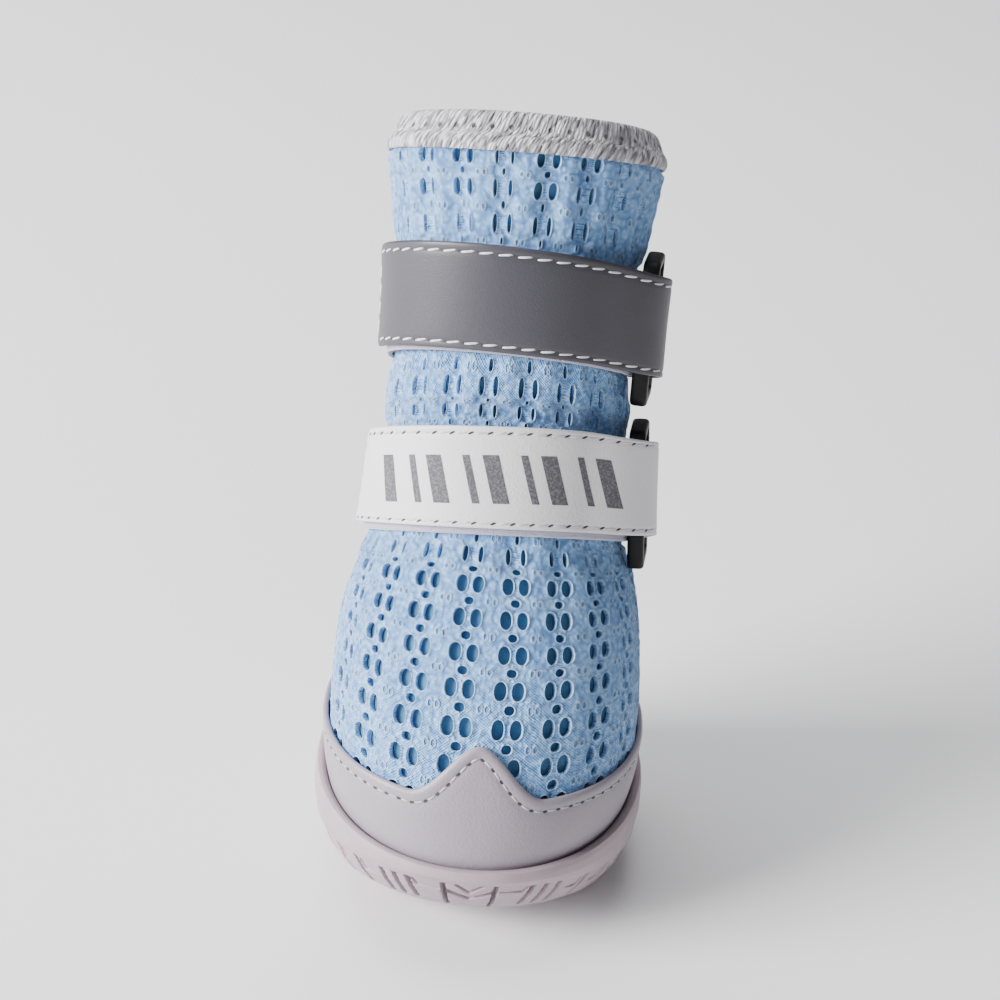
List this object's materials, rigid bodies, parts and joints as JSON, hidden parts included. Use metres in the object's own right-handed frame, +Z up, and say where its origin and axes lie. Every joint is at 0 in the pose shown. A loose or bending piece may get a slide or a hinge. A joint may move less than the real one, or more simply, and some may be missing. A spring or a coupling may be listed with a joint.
{
  "type": "dog boot",
  "caption": "Soft ankle-high paw boot of pale blue air mesh on a cupped rubber sole, with a toe guard and straps that fold back through square rings.",
  "frame": {"origin": "on the ground, on the flat tread under the middle of the sole", "axes": "+Z up the boot, -Y towards the toe, +X towards the side that carries the rings"},
  "size_m": [0.0686, 0.0937, 0.1587],
  "materials": {
    "air_mesh": "matt open air-mesh knit over a blue lining",
    "sole_rubber": "satin, pinkish off-white",
    "insole_fabric": "matt short-napped textile",
    "guard_leather": "smooth synthetic leather, satin",
    "binding_knit": "heather grey rib knit",
    "pale_strap": "smooth synthetic leather, satin, with a plain grey printed row",
    "dark_strap": "smooth reflective-coated synthetic leather, satin",
    "webbing": "woven tape",
    "ring_plastic": "moulded, satin"
  },
  "bodies": {
    "root": {"upper": "air_mesh", "sole": "sole_rubber", "insole": "insole_fabric", "toe_guard": "guard_leather", "collar_binding": "binding_knit", "low_strap": "pale_strap", "low_strap_tab": "webbing", "low_strap_ring": "ring_plastic", "top_strap": "dark_strap", "top_strap_tab": "webbing", "top_strap_ring": "ring_plastic"}
  },
  "joints": []
}
